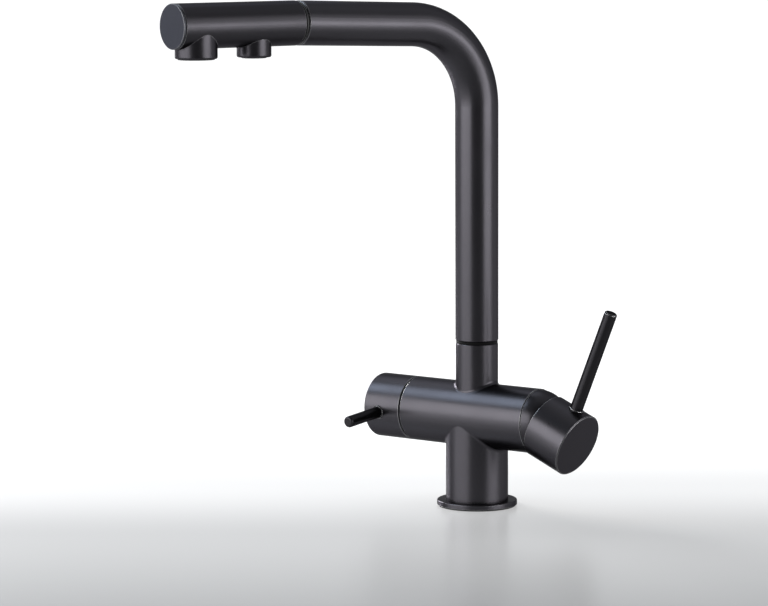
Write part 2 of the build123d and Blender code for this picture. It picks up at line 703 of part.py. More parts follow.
# Mixing cartridge in the right chamber, from its floor outwards
BASE_FROM = CHAMBER_FLOOR + 0.6
DISC_FROM = CHAMBER_FLOOR + 5
DISC_T = 3.5
SLIDE_FROM = DISC_FROM + DISC_T + FIT
SLIDE_T = 3.0
CARRIER_FROM = SLIDE_FROM + SLIDE_T
CARRIER_TOP = CHAMBER_FLOOR + 16.4
ROTOR_FROM = CARRIER_TOP + 0.4
ROTOR_FLANGE = 1.9
COLLAR_FROM = ROTOR_FROM + ROTOR_FLANGE + RUN
HOUSING_STEP = MOUTH_FLOOR + 0.5
HOUSING_TOP = HOUSING_STEP + 4
HOUSING_R = CHAMBER_R - 0.5
HOUSING_BORE_R = HOUSING_R - 1.1
ROTOR_R = 12.0
ROTOR_TOP = PIVOT_X + 5.9
SLIDE_R = HOUSING_BORE_R - disc_shift - 0.3
SLOT_W = 2 * STEM_HALF + 1.2

with BuildPart() as cartridge_base:
    with BuildSketch(barrel.offset(BASE_FROM)):
        Circle(HOUSING_R)
        with Locations(*CARTRIDGE_PORTS):
            Circle(2.0, mode=Mode.SUBTRACT)
    extrude(amount=DISC_FROM - BASE_FROM)
    with BuildSketch(barrel.offset(BASE_FROM)):
        with Locations(*CARTRIDGE_PORTS):
            Circle(4.4)
    extrude(amount=1.2, mode=Mode.SUBTRACT)

with BuildPart() as cartridge_seals:
    with BuildSketch(barrel.offset(CHAMBER_FLOOR)):
        with Locations(*CARTRIDGE_PORTS):
            Circle(4.3)
            Circle(2.7, mode=Mode.SUBTRACT)
    extrude(amount=1.8)

with BuildPart() as fixed_disc:
    with BuildSketch(barrel.offset(DISC_FROM)):
        Circle(HOUSING_BORE_R - RUN)
        with Locations(*CARTRIDGE_PORTS):
            Circle(2.0, mode=Mode.SUBTRACT)
    extrude(amount=DISC_T)

with BuildPart() as cartridge_housing:
    with BuildSketch(barrel_side):
        with BuildLine():
            Polyline(
                (DISC_FROM, HOUSING_BORE_R),
                (DISC_FROM, HOUSING_R),
                (HOUSING_STEP, HOUSING_R),
                (HOUSING_STEP, HOUSING_R - 3),
                (HOUSING_TOP, HOUSING_R - 3),
                (HOUSING_TOP, ROTOR_R + RUN),
                (COLLAR_FROM, ROTOR_R + RUN),
                (COLLAR_FROM, HOUSING_BORE_R),
                close=True,
            )
        make_face()
    revolve(axis=barrel_axis)

with BuildPart() as cartridge_nut:
    with BuildSketch(barrel_side):
        with BuildLine():
            Polyline(
                (HOUSING_STEP + FIT, HOUSING_R - 2.7),
                (HOUSING_STEP + FIT, MOUTH_R - FIT),
                (RIGHT_END, MOUTH_R - FIT),
                (RIGHT_END, MOUTH_R - 1.6),
                (RIGHT_END + 4, MOUTH_R - 1.6),
                (RIGHT_END + 4, HOUSING_R - 2.7),
                close=True,
            )
        make_face()
    revolve(axis=barrel_axis)

dome_foot = RIGHT_END + 0.1
dome_foot_r = sqrt(DOME_R**2 - (dome_foot - PIVOT_X) ** 2)
dome_top = PIVOT_X + sqrt(DOME_R**2 - DOME_HOLE_R**2)
dome_in_r = DOME_R - 2
dome_in_foot = RIGHT_END + 4.5
dome_in_foot_r = sqrt(dome_in_r**2 - (dome_in_foot - PIVOT_X) ** 2)
dome_in_top = PIVOT_X + sqrt(DOME_R**2 - DOME_HOLE_R**2) * dome_in_r / DOME_R

with BuildPart() as bonnet_dome:
    with BuildSketch(barrel_side):
        with BuildLine():
            Line((dome_foot, MOUTH_R - 1.5), (dome_foot, dome_foot_r))
            RadiusArc((dome_foot, dome_foot_r), (dome_top, DOME_HOLE_R), DOME_R)
            Line(
                (dome_top, DOME_HOLE_R),
                (dome_in_top, DOME_HOLE_R * dome_in_r / DOME_R),
            )
            RadiusArc(
                (dome_in_top, DOME_HOLE_R * dome_in_r / DOME_R),
                (dome_in_foot, dome_in_foot_r),
                -dome_in_r,
            )
            Polyline(
                (dome_in_foot, dome_in_foot_r),
                (dome_in_foot, MOUTH_R - 1.5),
                (dome_foot, MOUTH_R - 1.5),
            )
        make_face()
    revolve(axis=barrel_axis)

with BuildPart() as stem_rotor:
    with BuildSketch(barrel.offset(ROTOR_FROM)):
        Circle(ROTOR_R + 2)
    extrude(amount=ROTOR_FLANGE)
    with BuildSketch(barrel.offset(ROTOR_FROM)):
        Circle(ROTOR_R)
    extrude(amount=ROTOR_TOP - ROTOR_FROM)
    # slot between the cheeks, and the smaller opening below it
    with BuildSketch(barrel.offset(PIVOT_X - 4.6)):
        Rectangle(SLOT_W, 4 * ROTOR_R)
    extrude(amount=20, mode=Mode.SUBTRACT)
    with BuildSketch(barrel.offset(ROTOR_FROM)):
        Rectangle(SLOT_W, 15)
    extrude(amount=10, mode=Mode.SUBTRACT)
    with BuildSketch(Plane.XZ.offset(-ROTOR_R)):
        with Locations((PIVOT_X, BARREL_Z)):
            Circle(2.0 + FIT / 2)
    extrude(amount=2 * ROTOR_R, mode=Mode.SUBTRACT)
    # lugs that turn the disc carrier
    with BuildSketch(barrel.offset(ROTOR_FROM)):
        with Locations((8.5, 0), (-8.5, 0)):
            Rectangle(2, 6)
    extrude(amount=-3.2)

with BuildPart() as stem_pin:
    with BuildSketch(Plane.XZ.offset(-ROTOR_R + 0.6)):
        with Locations((PIVOT_X, BARREL_Z)):
            Circle(2.0)
    extrude(amount=2 * ROTOR_R - 1.2)

with BuildPart() as disc_carrier:
    with BuildSketch(barrel.offset(CARRIER_FROM)):
        with Locations((0, disc_shift)):
            Circle(SLIDE_R - 0.5)
    extrude(amount=CARRIER_TOP - CARRIER_FROM)
    with BuildSketch(barrel.offset(CARRIER_FROM + 1.1)):
        with Locations((0, disc_shift)):
            Rectangle(2 * BALL_R + 0.7, 2 * BALL_R + 0.7)
    extrude(amount=10, mode=Mode.SUBTRACT)
    with BuildSketch(barrel.offset(CARRIER_TOP)):
        with Locations((8.5, 0), (-8.5, 0)):
            Rectangle(2.7, 4 * SLIDE_R)
    extrude(amount=-3.2, mode=Mode.SUBTRACT)

with BuildPart() as moving_disc:
    with BuildSketch(barrel.offset(SLIDE_FROM)):
        with Locations((0, disc_shift)):
            Circle(SLIDE_R)
    extrude(amount=SLIDE_T)
    with BuildSketch(barrel.offset(SLIDE_FROM)):
        with Locations((0, disc_shift)):
            Circle(7.9)
    extrude(amount=SLIDE_T / 2, mode=Mode.SUBTRACT)

with BuildPart() as mixer_stem:
    with BuildSketch(hub):
        Rectangle(2 * STEM_HALF, 2 * STEM_HALF)
    extrude(amount=STEM_END)
    with BuildSketch(Plane.XZ.offset(-STEM_HALF)):
        with Locations((PIVOT_X, BARREL_Z)):
            Circle(STEM_HALF)
    extrude(amount=2 * STEM_HALF)
    with BuildSketch(hub.offset(-STEM_ARM)):
        Circle(BALL_R - 0.7)
    extrude(amount=STEM_ARM)
    with Locations(hub.offset(-STEM_ARM).location):
        Sphere(BALL_R)
    with BuildSketch(Plane.XZ.offset(-STEM_HALF)):
        with Locations((PIVOT_X, BARREL_Z)):
            Circle(2.0 + RUN)
    extrude(amount=2 * STEM_HALF, mode=Mode.SUBTRACT)

rim_r = sqrt(HUB_SOCKET_R**2 - HUB_RIM**2)

with BuildPart() as mixer_hub:
    with BuildSketch(hub_side):
        with BuildLine():
            Polyline(
                (HUB_RIM, rim_r),
                (HUB_RIM, HUB_R - 0.3),
                (HUB_RIM + 0.3, HUB_R),
                (HUB_END, HUB_R),
                (HUB_END, 0),
                (HUB_SOCKET_R, 0),
            )
            RadiusArc((HUB_SOCKET_R, 0), (HUB_RIM, rim_r), -HUB_SOCKET_R)
        make_face()
    revolve(axis=hub_axis)
    hub_edge = mixer_hub.edges().filter_by(
        lambda e: e.geom_type == GeomType.CIRCLE
        and e.radius > HUB_R - 0.1
        and e.center().X > PIVOT_X + HUB_RIM + 10
    )
    chamfer(hub_edge, EDGE)
    with BuildSketch(hub.offset(HUB_SOCKET_R - 4)):
        Rectangle(2 * STEM_HALF + RUN, 2 * STEM_HALF + RUN)
    extrude(amount=STEM_END + 0.2 - HUB_SOCKET_R + 4, mode=Mode.SUBTRACT)
    lever_seat = Plane(
        origin=hub.from_local_coords(Vector(0, HUB_R, LEVER_AT)),
        x_dir=(0, 1, 0),
        z_dir=(tilt_s, 0, tilt_c),
    )
    with BuildSketch(lever_seat.offset(-SHOULDER_SEAT)):
        Circle(LEVER_R + SHOULDER + FIT)
    extrude(amount=3, mode=Mode.SUBTRACT)
    with BuildSketch(lever_seat.offset(-1.2)):
        Circle(LEVER_R + FIT)
    extrude(amount=3, mode=Mode.SUBTRACT)
    with BuildSketch(lever_seat.offset(-12)):
        Circle(2.5 + FIT)
    extrude(amount=12, mode=Mode.SUBTRACT)
    screw_seat = Plane(
        origin=hub.from_local_coords(Vector(0, -HUB_R, LEVER_AT + 1.6)),
        x_dir=(0, 1, 0),
        z_dir=(-tilt_s, 0, -tilt_c),
    )
    with BuildSketch(screw_seat.offset(1)):
        Circle(2.0 + FIT)
    extrude(amount=-HUB_R + STEM_HALF - 2, mode=Mode.SUBTRACT)

with BuildPart() as hub_screw:
    with BuildSketch(screw_seat.offset(-HUB_R + STEM_HALF + FIT)):
        Circle(2.0)
    extrude(amount=8)
    with BuildSketch(screw_seat.offset(-HUB_R + STEM_HALF + FIT + 8)):
        RegularPolygon(radius=1.15, side_count=6)
    extrude(amount=-3, mode=Mode.SUBTRACT)

with BuildPart() as lever_rod:
    with BuildSketch(lever_seat.offset(-1.2)):
        Circle(LEVER_R)
    extrude(amount=LEVER_TIP - HUB_R + 1.2)
    chamfer(lever_rod.edges().filter_by(GeomType.CIRCLE), 0.6)
    with BuildSketch(lever_seat.offset(-1.2)):
        Circle(2.5)
    extrude(amount=-10)
    # shoulder in its spot-face
    with BuildSketch(lever_seat.offset(-SHOULDER_SEAT)):
        Circle(LEVER_R + SHOULDER)
    extrude(amount=SHOULDER_SEAT + SHOULDER)

# Quarter-turn valve of the filtered water in the left chamber
VALVE_SEAT = LEFT_END + 0.1
VALVE_HEX = 5.4
VALVE_NECK = VALVE_SEAT + VALVE_HEX + 3
FILTER_DISC_FROM = VALVE_FLOOR + 5.4
FILTER_DISC_T = 2.6
FILTER_DISC_R = 9.1
TURN_DISC_FROM = FILTER_DISC_FROM + FILTER_DISC_T + FIT
TURN_DISC_T = 2.4
SPINDLE_R = 5.0
SPINDLE_HEAD = TURN_DISC_FROM + TURN_DISC_T + 2.3
SPINDLE_END = CAP_END - 7

with BuildPart() as filter_valve_body:
    with BuildSketch(barrel_side):
        with BuildLine():
            Polyline(
                (-VALVE_FLOOR - 3, FILTER_DISC_R + RUN),
                (-VALVE_FLOOR - 3, FILTER_DISC_R + 1.7),
                (-VALVE_FLOOR - 16, FILTER_DISC_R + 1.7),
                (-VALVE_FLOOR - 16, VALVE_BORE_R - FIT),
                (-VALVE_SEAT, VALVE_BORE_R - FIT),
                (-VALVE_SEAT, SPINDLE_R + 3),
                (-VALVE_NECK, SPINDLE_R + 3),
                (-VALVE_NECK, SPINDLE_R + RUN),
                (-SPINDLE_HEAD - 3.2, SPINDLE_R + RUN),
                (-SPINDLE_HEAD - 3.2, FILTER_DISC_R + RUN),
                close=True,
            )
        make_face()
    revolve(axis=barrel_axis)
    with BuildSketch(barrel.offset(-VALVE_SEAT)):
        RegularPolygon(radius=16, side_count=6)
        Circle(SPINDLE_R + RUN, mode=Mode.SUBTRACT)
    extrude(amount=-VALVE_HEX)
    # side windows where the water leaves
    with BuildSketch(Plane.XZ.offset(-VALVE_BORE_R)):
        with Locations((-TURN_DISC_FROM - TURN_DISC_T - 1.1, BARREL_Z)):
            Rectangle(2, 8)
    extrude(amount=2 * VALVE_BORE_R, mode=Mode.SUBTRACT)

with BuildPart() as filter_seat_seal:
    with BuildSketch(barrel.offset(-FILTER_DISC_FROM)):
        Circle(FILTER_DISC_R)
        Circle(FILTER_DISC_R - 2, mode=Mode.SUBTRACT)
    extrude(amount=FILTER_DISC_FROM - VALVE_FLOOR)

with BuildPart() as filter_fixed_disc:
    with BuildSketch(barrel.offset(-FILTER_DISC_FROM)):
        Circle(FILTER_DISC_R)
        with Locations((0, 4.5), (0, -4.5)):
            Circle(2.2, mode=Mode.SUBTRACT)
    extrude(amount=-FILTER_DISC_T)

with BuildPart() as filter_moving_disc:
    with BuildSketch(barrel.offset(-TURN_DISC_FROM)):
        Circle(FILTER_DISC_R - 0.2)
        with Locations((0, 4.5), (0, -4.5)):
            Circle(2.2, mode=Mode.SUBTRACT)
        with Locations((FILTER_DISC_R, 0), (-FILTER_DISC_R, 0)):
            Rectangle(5, 3, mode=Mode.SUBTRACT)
    extrude(amount=-TURN_DISC_T)

with BuildPart() as filter_spindle:
    with BuildSketch(barrel.offset(-SPINDLE_HEAD)):
        Circle(FILTER_DISC_R - 0.2)
    extrude(amount=-2.8)
    with BuildSketch(barrel.offset(-SPINDLE_HEAD)):
        with Locations((FILTER_DISC_R - 1.35, 0), (-FILTER_DISC_R + 1.35, 0)):
            Rectangle(2, 2.8)
    extrude(amount=SPINDLE_HEAD - TURN_DISC_FROM - 0.3)
    with BuildSketch(barrel.offset(-SPINDLE_HEAD)):
        Circle(SPINDLE_R)
    extrude(amount=SPINDLE_HEAD - VALVE_NECK - 0.4)
    with BuildSketch(barrel.offset(-VALVE_NECK)):
        Circle(SPINDLE_R - 1)
    extrude(amount=VALVE_NECK - SPINDLE_END)
    with BuildSketch(barrel.offset(-VALVE_SEAT)):
        Circle(SPINDLE_R + 1)
        Circle(SPINDLE_R - 1, mode=Mode.SUBTRACT)
    extrude(amount=2, mode=Mode.SUBTRACT)

with BuildPart() as spindle_seal:
    with BuildSketch(barrel.offset(-VALVE_SEAT + 0.1)):
        Circle(SPINDLE_R)
        Circle(SPINDLE_R - 1 + FIT, mode=Mode.SUBTRACT)
    extrude(amount=1.8)

with BuildPart() as spindle_clip:
    with BuildSketch(barrel.offset(-VALVE_NECK - 0.4)):
        Circle(SPINDLE_R + 1.5)
        Circle(SPINDLE_R - 1 + FIT, mode=Mode.SUBTRACT)
        with Locations((0, SPINDLE_R)):
            Rectangle(3, 6, mode=Mode.SUBTRACT)
    extrude(amount=-0.9)

pin_s = sin(radians(PIN_DROP))
pin_c = cos(radians(PIN_DROP))
pin_seat = Plane(
    origin=(-PIN_AT, -BARREL_R * pin_c, BARREL_Z - BARREL_R * pin_s),
    x_dir=(1, 0, 0),
    z_dir=(0, -pin_c, -pin_s),
)

with BuildPart() as filter_cap:
    with BuildSketch(barrel.offset(-CAP_END)):
        Circle(BARREL_R)
    extrude(amount=CAP_END - LEFT_END - CAP_GAP)
    fillet(filter_cap.edges().group_by(Axis.X)[0], 0.9)
    chamfer(filter_cap.edges().group_by(Axis.X)[-1], EDGE)
    with BuildSketch(barrel.offset(-CAP_END + 3)):
        Circle(BARREL_R - CAP_WALL)
        Circle(SPINDLE_R + 3.5, mode=Mode.SUBTRACT)
    extrude(amount=CAP_END, mode=Mode.SUBTRACT)
    with BuildSketch(barrel.offset(-VALVE_NECK - 2.5)):
        Circle(SPINDLE_R + 3.6)
    extrude(amount=CAP_END, mode=Mode.SUBTRACT)
    with BuildSketch(barrel.offset(-SPINDLE_END - 0.5)):
        Circle(SPINDLE_R - 1 + FIT)
    extrude(amount=CAP_END, mode=Mode.SUBTRACT)
    with BuildSketch(pin_seat.offset(1)):
        Circle(PIN_R + SHOULDER + FIT)
    extrude(amount=-1 - SHOULDER_SEAT, mode=Mode.SUBTRACT)
    with BuildSketch(pin_seat.offset(1)):
        Circle(PIN_R + FIT)
    extrude(amount=-2.0, mode=Mode.SUBTRACT)
    with BuildSketch(pin_seat):
        Circle(2.5 + FIT)
    extrude(amount=-BARREL_R + 2, mode=Mode.SUBTRACT)

with BuildPart() as filter_pin:
    with BuildSketch(pin_seat.offset(-1.0)):
        Circle(PIN_R)
    extrude(amount=PIN_TIP - BARREL_R + 1.0)
    fillet(filter_pin.edges().group_by(Axis.Y)[0], 1.6)
    with BuildSketch(pin_seat.offset(-1.0)):
        Circle(2.5)
    extrude(amount=-BARREL_R + SPINDLE_R + 0.3)
    # shoulder in its spot-face
    with BuildSketch(pin_seat.offset(-SHOULDER_SEAT)):
        Circle(PIN_R + SHOULDER)
    extrude(amount=SHOULDER_SEAT + SHOULDER)

PIECES = {
    "main_body": main_body,
    "base_flange": base_flange,
    "flange_gasket": flange_gasket,
    "base_insert": base_insert,
    "port_shank": port_shank,
    "fixing_stud": fixing_stud,
    "clamp_pad": clamp_pad,
    "clamp_plate": clamp_plate,
    "clamp_nut": clamp_nut,
    "lower_bush": lower_bush,
    "upper_bush": upper_bush,
    "swivel_washer": swivel_washer,
    "spout_lock_screw": spout_lock_screw,
    "spigot": spigot,
    "spigot_seals": spigot_seals,
    "spout_tube": spout_tube,
    "dock_bush": dock_bush,
    "spray_hose": spray_hose,
    "pure_tube": pure_tube,
    "hose_coupling": hose_coupling,
    "swivel_nipple": swivel_nipple,
    "nipple_seal": nipple_seal,
    "hose_ferrule": hose_ferrule,
    "head_shell": head_shell,
    "head_end_cap": head_end_cap,
    "head_core": head_core,
    "dock_collar": dock_collar,
    "main_aerator_washer": main_aerator_washer,
    "main_aerator_ring": main_aerator_ring,
    "main_aerator_core": main_aerator_core,
    "pure_aerator_washer": pure_aerator_washer,
    "pure_aerator_ring": pure_aerator_ring,
    "pure_aerator_core": pure_aerator_core,
    "cartridge_base": cartridge_base,
    "cartridge_seals": cartridge_seals,
    "fixed_disc": fixed_disc,
    "cartridge_housing": cartridge_housing,
    "cartridge_nut": cartridge_nut,
    "bonnet_dome": bonnet_dome,
    "stem_rotor": stem_rotor,
    "stem_pin": stem_pin,
    "disc_carrier": disc_carrier,
    "moving_disc": moving_disc,
    "mixer_stem": mixer_stem,
    "mixer_hub": mixer_hub,
    "hub_screw": hub_screw,
    "lever_rod": lever_rod,
    "filter_valve_body": filter_valve_body,
    "filter_seat_seal": filter_seat_seal,
    "filter_fixed_disc": filter_fixed_disc,
    "filter_moving_disc": filter_moving_disc,
    "filter_spindle": filter_spindle,
    "spindle_seal": spindle_seal,
    "spindle_clip": spindle_clip,
    "filter_cap": filter_cap,
    "filter_pin": filter_pin,
}

for name, piece in PIECES.items():
    piece.part.label = name
    export_step(piece.part, f"parts/{name}.step")
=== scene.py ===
import bpy
import json
import math
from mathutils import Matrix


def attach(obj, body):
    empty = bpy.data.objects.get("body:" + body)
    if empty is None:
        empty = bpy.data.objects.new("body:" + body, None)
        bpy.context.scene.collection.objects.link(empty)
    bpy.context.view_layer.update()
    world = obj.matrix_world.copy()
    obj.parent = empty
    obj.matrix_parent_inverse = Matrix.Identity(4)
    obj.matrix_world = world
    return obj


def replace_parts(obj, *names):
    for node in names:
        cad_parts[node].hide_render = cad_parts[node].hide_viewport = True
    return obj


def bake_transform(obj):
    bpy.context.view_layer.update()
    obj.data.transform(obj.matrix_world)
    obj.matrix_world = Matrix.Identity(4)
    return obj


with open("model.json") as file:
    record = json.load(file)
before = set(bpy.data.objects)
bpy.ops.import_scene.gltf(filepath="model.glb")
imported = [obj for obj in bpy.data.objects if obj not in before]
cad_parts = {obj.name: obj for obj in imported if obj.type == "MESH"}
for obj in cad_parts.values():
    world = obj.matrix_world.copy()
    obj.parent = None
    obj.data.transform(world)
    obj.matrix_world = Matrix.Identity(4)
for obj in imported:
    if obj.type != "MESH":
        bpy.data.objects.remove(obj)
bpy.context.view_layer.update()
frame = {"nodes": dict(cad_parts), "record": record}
nodes = frame["nodes"]


# Route of the hose: up the riser, round the bend and out along the arm
ARM_OUT = (-0.267238, -0.963630, 0.0)
ARM_SIDE = (0.963630, -0.267238, 0.0)
ARM_Z = 0.340305
HOSE_BEND = 0.060
HOSE_FOOT = -0.058
HOSE_TIP = 0.1287
HOSE_R = 0.006
HOSE_WALL = 0.0016
HOSE_SIDES = 36
RISER_RINGS = 12
BEND_RINGS = 24
ARM_RINGS = 60
REST_PLACE = "rest_place"

# Filtered-water tube inside the hose
TUBE_FOOT = -0.08
TUBE_TIP = 0.1806
TUBE_R = 0.0026
TUBE_WALL = 0.0008
TUBE_SIDES = 16

# Braid of the hose: strands round it, their slope, and the height where it turns into the arm
BRAID_STRANDS = 14.0
BRAID_SLOPE = 2100.0
BRAID_TURN = ARM_Z - 0.03

# Thread of the fixing stud, with the tooth's outline as steps out and up in one pitch
STUD_X = -0.00625
STUD_Y = 0.010825
STUD_R = 0.003
STUD_ROOT = 0.00245
STUD_PITCH = 0.001
STUD_FOOT = -0.06
STUD_TURNS = 57
STUD_STEPS = 24
TOOTH_STEPS = ((1, 0.44), (0, 0.12), (-1, 0.44))

# Edges lightened as rubbed coat and painted highlight, left out of hollows, and the seam at the
# neck, where the painted highlight is left out so the seam stays dark
EDGE_WIDTH = 0.0005
EDGE_SAMPLES = 6
HOLLOW_REACH = 0.002
NECK_SEAM = 0.1155
SEAM_REACH = 0.003

# Depth of the relief in a coat and in the braid
COAT_DEPTH = 0.0002
BRAID_DEPTH = 0.0004

# Distance within which points are merged, a finer one for the wound tooth, and the angle
# up to which faces are shaded as one smooth surface
WELD = 0.00001
WOUND_WELD = 0.000001
SMOOTH_ANGLE = math.radians(40)

# Floor: level of white from behind the faucet to the front, and the share that gloss mirrors
FLOOR_SIZE = 40.0
FLOOR_GREY = 0.27
FLOOR_ROUGHNESS = 0.26
FLOOR_FRONT = (0.595, -0.804, 0)
FLOOR_REACH = (-1.0, 0.6)
FLOOR_LEVELS = ((0.42, 0.85), (0.58, 0.54), (0.7, 0.27), (0.92, 0.06))
FLOOR_MIRRORED = 0.7

# Room: dim on the camera's side, pale behind and above
ROOM_BEHIND = (-0.564, 0.762, 0.32)
ROOM_REACH = (-0.3, 0.6)
ROOM_LEVELS = (0.12, 0.55)
ROOM_COLOUR = (0.95, 0.97, 1.0, 1)

# Soft boxes: name, place, aim, width, height, power and colour
WHITE = (1, 1, 1)
SOFT_BOXES = (
    ("front_box", (-0.845, -1.813, 0.68), (0, 0, 0.68), 2.3, 1.3, 36, WHITE),
    ("side_box", (1.985, 0.244, 0.34), (0, 0, 0.34), 1.58, 0.6, 15, WHITE),
    ("side_glow", (1.85, 0.5, 1.05), (0, 0, 0.34), 1.6, 0.9, 6, WHITE),
    ("sky_box", (-1.45, -0.75, 1.9), (0, 0, 0.07), 1.1, 0.9, 14, (0.72, 0.86, 1.0)),
    ("top_glow", (-1.1, 0.9, 1.95), (0, 0, 0.07), 1.4, 1.2, 5, (0.86, 0.93, 1.0)),
    ("left_box", (-1.86, 0.4, 0.72), (0, 0, 0.07), 0.9, 0.8, 60, WHITE),
)

# Camera at the photograph's angle, with its turn in degrees
CAMERA_PLACE = (1.398904, -1.891718, 0.423379)
CAMERA_TURN = (83.19, 0.232, 38.028)
CAMERA_LENS = 159.687
CAMERA_SENSOR = 36.0
CAMERA_FAR = 60.0


def deselect_all():
    if bpy.context.mode != "OBJECT":
        bpy.ops.object.mode_set(mode="OBJECT")
    bpy.ops.object.select_all(action="DESELECT")


# Shader nodes

def add_node(n, kind, operation=None, values=None):
    """A node of this kind, with its operation and the values of its open sockets."""
    node = n.new(kind)
    if operation:
        node.operation = operation
    for socket, value in (values or {}).items():
        node.inputs[socket].default_value = value
    return node


def add_group(n, group, values=None):
    """A shader group placed in a material with that material's own values."""
    node = n.new("ShaderNodeGroup")
    node.node_tree = group
    for socket, value in (values or {}).items():
        node.inputs[socket].default_value = value
    return node


def add_tone(n, first, second):
    """A mix from the first colour to the second."""
    tone = n.new("ShaderNodeMix")
    tone.data_type = "RGBA"
    tone.inputs["A"].default_value = (*first, 1)
    tone.inputs["B"].default_value = (*second, 1)
    return tone


def new_group(name, inputs, outputs):
    """An empty shader group with its named values in and its named results out."""
    group = bpy.data.node_groups.new(name, "ShaderNodeTree")
    for label, value in inputs:
        socket = group.interface.new_socket(
            label, in_out="INPUT", socket_type="NodeSocketFloat"
        )
        socket.default_value = value
    for label, kind in outputs:
        group.interface.new_socket(label, in_out="OUTPUT", socket_type=kind)
    return group


def new_material(name):
    mat = bpy.data.materials.new(name)
    mat.use_nodes = True
    return mat


# Shader groups

def grain_group():
    """Fine spray grain of a coating: uneven gloss and a shallow orange-peel height."""
    group = new_group(
        "coat_grain",
        (("Scale", 900.0), ("Gloss Low", 0.3), ("Gloss High", 0.4)),
        (("Roughness", "NodeSocketFloat"), ("Height", "NodeSocketFloat")),
    )
    n, link = group.nodes, group.links.new
    inside = n.new("NodeGroupInput")
    out = n.new("NodeGroupOutput")
    place = n.new("ShaderNodeTexCoord")
    fine = add_node(n, "ShaderNodeTexNoise", values={"Detail": 3.0, "Roughness": 0.6})
    broad = add_node(n, "ShaderNodeTexNoise", values={"Scale": 35.0, "Detail": 2.0})
    both = add_node(n, "ShaderNodeMath", "MULTIPLY_ADD", {1: 0.5})
    spread = add_node(n, "ShaderNodeMapRange", values={"From Min": 0.45, "From Max": 1.05})
    link(place.outputs["Object"], fine.inputs["Vector"])
    link(place.outputs["Object"], broad.inputs["Vector"])
    link(inside.outputs["Scale"], fine.inputs["Scale"])
    link(fine.outputs["Fac"], both.inputs[0])
    link(broad.outputs["Fac"], both.inputs[2])
    link(both.outputs["Value"], spread.inputs["Value"])
    link(inside.outputs["Gloss Low"], spread.inputs["To Min"])
    link(inside.outputs["Gloss High"], spread.inputs["To Max"])
    link(spread.outputs["Result"], out.inputs["Roughness"])
    link(fine.outputs["Fac"], out.inputs["Height"])
    return group


def wear_and_highlight_group():
    """The outer edges: a mask of where a coat is rubbed thin and a highlight is painted on, left
    out in hollows, and a slightly rounded normal.
    """
    group = new_group(
        "edge_wear_and_highlight",
        (("Width", EDGE_WIDTH),),
        (("Mask", "NodeSocketFloat"), ("Round", "NodeSocketVector")),
    )
    n, link = group.nodes, group.links.new
    inside = n.new("NodeGroupInput")
    out = n.new("NodeGroupOutput")
    bevel = n.new("ShaderNodeBevel")
    bevel.samples = EDGE_SAMPLES
    surface = n.new("ShaderNodeNewGeometry")
    facing = add_node(n, "ShaderNodeVectorMath", "DOT_PRODUCT")
    spread = add_node(n, "ShaderNodeMapRange", values={"From Min": 0.995, "From Max": 0.93})
    shaded_hollow = add_node(n, "ShaderNodeAmbientOcclusion", values={"Distance": HOLLOW_REACH})
    shaded_hollow.only_local = True
    shaded_hollow.samples = EDGE_SAMPLES
    raised = add_node(n, "ShaderNodeMapRange", values={"From Min": 0.65, "From Max": 0.9})
    both = add_node(n, "ShaderNodeMath", "MULTIPLY")
    link(inside.outputs["Width"], bevel.inputs["Radius"])
    link(bevel.outputs["Normal"], facing.inputs[0])
    link(surface.outputs["Normal"], facing.inputs[1])
    link(facing.outputs["Value"], spread.inputs["Value"])
    link(shaded_hollow.outputs["AO"], raised.inputs["Value"])
    link(spread.outputs["Result"], both.inputs[0])
    link(raised.outputs["Result"], both.inputs[1])
    link(both.outputs["Value"], out.inputs["Mask"])
    link(bevel.outputs["Normal"], out.inputs["Round"])
    return group


def weave_group():
    """Crossing strands of a braided hose that stands up the riser and lies along the arm.

    The turn round the hose is read from where each point lay at rest, so the strands stay
    on the hose when the spout swings, and the run along the arm from where the point is now.
    """
    group = new_group("hose_weave", (), (("Height", "NodeSocketFloat"),))
    n, link = group.nodes, group.links.new

    def maths(operation, *values):
        step = add_node(n, "ShaderNodeMath", operation)
        for slot, value in enumerate(values):
            if isinstance(value, float):
                step.inputs[slot].default_value = value
            else:
                link(value, step.inputs[slot])
        return step.outputs["Value"]

    def along(source, direction):
        step = add_node(n, "ShaderNodeVectorMath", "DOT_PRODUCT", {1: direction})
        link(source, step.inputs[0])
        return step.outputs["Value"]

    out = n.new("NodeGroupOutput")
    rest = n.new("ShaderNodeAttribute")
    rest.attribute_name = REST_PLACE
    at_rest = rest.outputs["Vector"]
    place = n.new("ShaderNodeTexCoord")
    flat = add_node(n, "ShaderNodeVectorMath", "MULTIPLY", {1: (1, 1, 0)})
    link(place.outputs["Object"], flat.inputs[0])
    outward = add_node(n, "ShaderNodeVectorMath", "LENGTH")
    link(flat.outputs["Vector"], outward.inputs[0])
    height = along(at_rest, (0, 0, 1))
    in_arm = maths("GREATER_THAN", height, BRAID_TURN)
    in_riser = maths("SUBTRACT", 1.0, in_arm)
    riser_turn = maths("ARCTAN2", along(at_rest, (0, 1, 0)), along(at_rest, (1, 0, 0)))
    arm_turn = maths("ARCTAN2", maths("SUBTRACT", height, ARM_Z), along(at_rest, ARM_SIDE))

    def by_place(riser_value, arm_value):
        """The first value in the riser and the second in the arm."""
        return maths(
            "ADD", maths("MULTIPLY", riser_value, in_riser), maths("MULTIPLY", arm_value, in_arm)
        )

    turn = by_place(riser_turn, arm_turn)
    run = by_place(height, outward.outputs["Value"])
    strand = maths("MULTIPLY", turn, BRAID_STRANDS)
    slope = maths("MULTIPLY", run, BRAID_SLOPE)
    right = maths("SINE", maths("ADD", strand, slope))
    left = maths("SINE", maths("SUBTRACT", strand, slope))
    link(maths("MAXIMUM", right, left), out.inputs["Height"])
    return group


GRAIN = grain_group()
WEAR_AND_HIGHLIGHT = wear_and_highlight_group()
WEAVE = weave_group()


# Finishes

